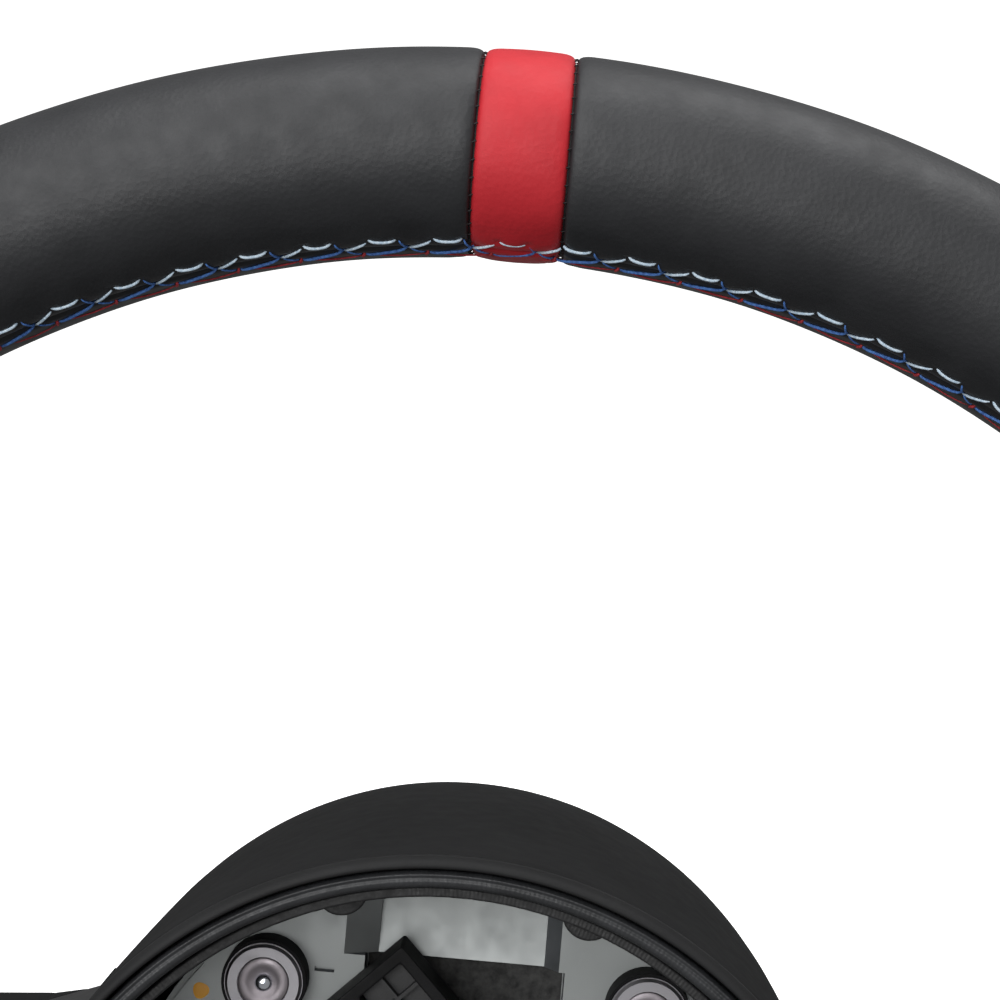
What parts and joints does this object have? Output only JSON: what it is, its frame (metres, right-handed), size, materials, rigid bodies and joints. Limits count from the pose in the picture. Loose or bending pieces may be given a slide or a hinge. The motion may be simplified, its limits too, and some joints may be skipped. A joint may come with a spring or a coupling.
{
  "type": "quick release steering wheel",
  "caption": "Leather-wrapped sports steering wheel with a red centre band, open airbag bay, shift paddles and a ball-lock quick release hub behind the housing.",
  "frame": {"origin": "centre of the column-side mounting face of the quick release hub", "axes": "+Z to 12 o'clock, -Y towards the driver, +Y down the column"},
  "size_m": [0.374, 0.1326, 0.374],
  "materials": {
    "black_leather": "smooth, fine grain, semi matte",
    "grip_leather": "smooth, fine grain, semi matte",
    "red_leather": "smooth, semi matte",
    "rim_foam": "moulded foam, hidden",
    "light_blue_thread": "twisted thread",
    "blue_thread": "twisted thread",
    "red_thread": "twisted thread",
    "cast_magnesium": "as cast, satin",
    "turned_steel": "turned bright",
    "housing_plastic": "matte, very fine grain",
    "bezel_plastic": "satin, ridged",
    "liner_plastic": "matte",
    "connector_plastic": "moulded, matte",
    "pod_plastic": "matte, fine grain",
    "key_plastic": "satin",
    "trim_metal": "satin silver paint",
    "circuit_board": "green board",
    "black_steel": "black oxide",
    "red_anodised": "anodised red",
    "black_anodised": "anodised black",
    "hub_alloy": "machined",
    "spring_steel": "drawn wire",
    "paddle_alloy": "satin black paint"
  },
  "bodies": {
    "column_side": {"column_hub": "hub_alloy"},
    "wheel": {"coupling_hub": "black_anodised", "coupling_screws": "black_steel", "collar_spring": "spring_steel", "retaining_ring": "spring_steel", "armature": "cast_magnesium", "rim_foam": "rim_foam", "centre_band": "red_leather", "upper_left_leather": "black_leather", "upper_right_leather": "black_leather", "left_grip_leather": "grip_leather", "right_grip_leather": "grip_leather", "lower_leather": "black_leather", "light_blue_thread": "light_blue_thread", "blue_thread": "blue_thread", "red_thread": "red_thread", "rear_shell": "housing_plastic", "bezel_ring": "bezel_plastic", "bay_liner": "liner_plastic", "guide_bushes": "turned_steel", "guide_sleeves": "connector_plastic", "connector_block": "connector_plastic", "shell_screws": "black_steel", "left_pod_cover": "pod_plastic", "right_pod_cover": "pod_plastic", "left_spoke_back": "housing_plastic", "right_spoke_back": "housing_plastic", "left_switch_board": "circuit_board", "right_switch_board": "circuit_board", "lower_trim": "trim_metal", "lower_spoke_back": "housing_plastic", "left_paddle_bracket": "connector_plastic", "right_paddle_bracket": "connector_plastic", "left_paddle_pin": "turned_steel", "right_paddle_pin": "turned_steel"},
    "collar": {"release_collar": "red_anodised"},
    "ball_1": {"lock_ball_1": "turned_steel"},
    "ball_2": {"lock_ball_2": "turned_steel"},
    "ball_3": {"lock_ball_3": "turned_steel"},
    "ball_4": {"lock_ball_4": "turned_steel"},
    "left_upper_key": {"left_upper_key": "key_plastic"},
    "left_lower_key": {"left_lower_key": "key_plastic"},
    "left_roller": {"left_roller": "key_plastic"},
    "left_paddle": {"left_paddle": "paddle_alloy"},
    "right_upper_key": {"right_upper_key": "key_plastic"},
    "right_lower_key": {"right_lower_key": "key_plastic"},
    "right_roller": {"right_roller": "key_plastic"},
    "right_paddle": {"right_paddle": "paddle_alloy"}
  },
  "joints": [
    {"name": "pull_off", "type": "slide", "parent": "column_side", "child": "wheel", "axis": [0, -1, 0], "range_m": [0, 0.045]},
    {"name": "collar_slide", "type": "slide", "parent": "wheel", "child": "collar", "axis": [0, 1, 0], "range_m": [0, 0.008], "stiffness_N_per_m": 800, "springref_m": 0.01, "deforming": ["collar_spring"]},
    {"name": "ball_1_travel", "type": "slide", "parent": "wheel", "child": "ball_1", "axis": [-0.7071, 0, -0.7071], "range_m": [0, 0.0021]},
    {"name": "ball_2_travel", "type": "slide", "parent": "wheel", "child": "ball_2", "axis": [0.7071, 0, -0.7071], "range_m": [0, 0.0021]},
    {"name": "ball_3_travel", "type": "slide", "parent": "wheel", "child": "ball_3", "axis": [0.7071, 0, 0.7071], "range_m": [0, 0.0021]},
    {"name": "ball_4_travel", "type": "slide", "parent": "wheel", "child": "ball_4", "axis": [-0.7071, 0, 0.7071], "range_m": [0, 0.0021]},
    {"name": "left_upper_press", "type": "slide", "parent": "wheel", "child": "left_upper_key", "axis": [0, 1, 0], "range_m": [0, 0.0012], "stiffness_N_per_m": 900, "springref_m": -0.001},
    {"name": "left_lower_press", "type": "slide", "parent": "wheel", "child": "left_lower_key", "axis": [0, 1, 0], "range_m": [0, 0.0012], "stiffness_N_per_m": 900, "springref_m": -0.001},
    {"name": "left_roll", "type": "hinge", "parent": "wheel", "child": "left_roller", "pos_m": [-0.126, -0.117, 0.002], "axis": [1, 0, 0], "continuous": true},
    {"name": "left_pull", "type": "hinge", "parent": "wheel", "child": "left_paddle", "pos_m": [-0.073, -0.068, 0], "axis": [0, 0, 1], "range_deg": [0, 4], "stiffness_Nm_per_rad": 2, "springref_deg": -5.73},
    {"name": "right_upper_press", "type": "slide", "parent": "wheel", "child": "right_upper_key", "axis": [0, 1, 0], "range_m": [0, 0.0012], "stiffness_N_per_m": 900, "springref_m": -0.001},
    {"name": "right_lower_press", "type": "slide", "parent": "wheel", "child": "right_lower_key", "axis": [0, 1, 0], "range_m": [0, 0.0012], "stiffness_N_per_m": 900, "springref_m": -0.001},
    {"name": "right_roll", "type": "hinge", "parent": "wheel", "child": "right_roller", "pos_m": [0.126, -0.117, 0.002], "axis": [1, 0, 0], "continuous": true},
    {"name": "right_pull", "type": "hinge", "parent": "wheel", "child": "right_paddle", "pos_m": [0.073, -0.068, 0], "axis": [0, 0, -1], "range_deg": [0, 4], "stiffness_Nm_per_rad": 2, "springref_deg": -5.73}
  ],
  "couplings": [
    {"joint": "ball_1_travel", "follows": "collar_slide", "ratio": 0.2625},
    {"joint": "ball_2_travel", "follows": "collar_slide", "ratio": 0.2625},
    {"joint": "ball_3_travel", "follows": "collar_slide", "ratio": 0.2625},
    {"joint": "ball_4_travel", "follows": "collar_slide", "ratio": 0.2625}
  ]
}
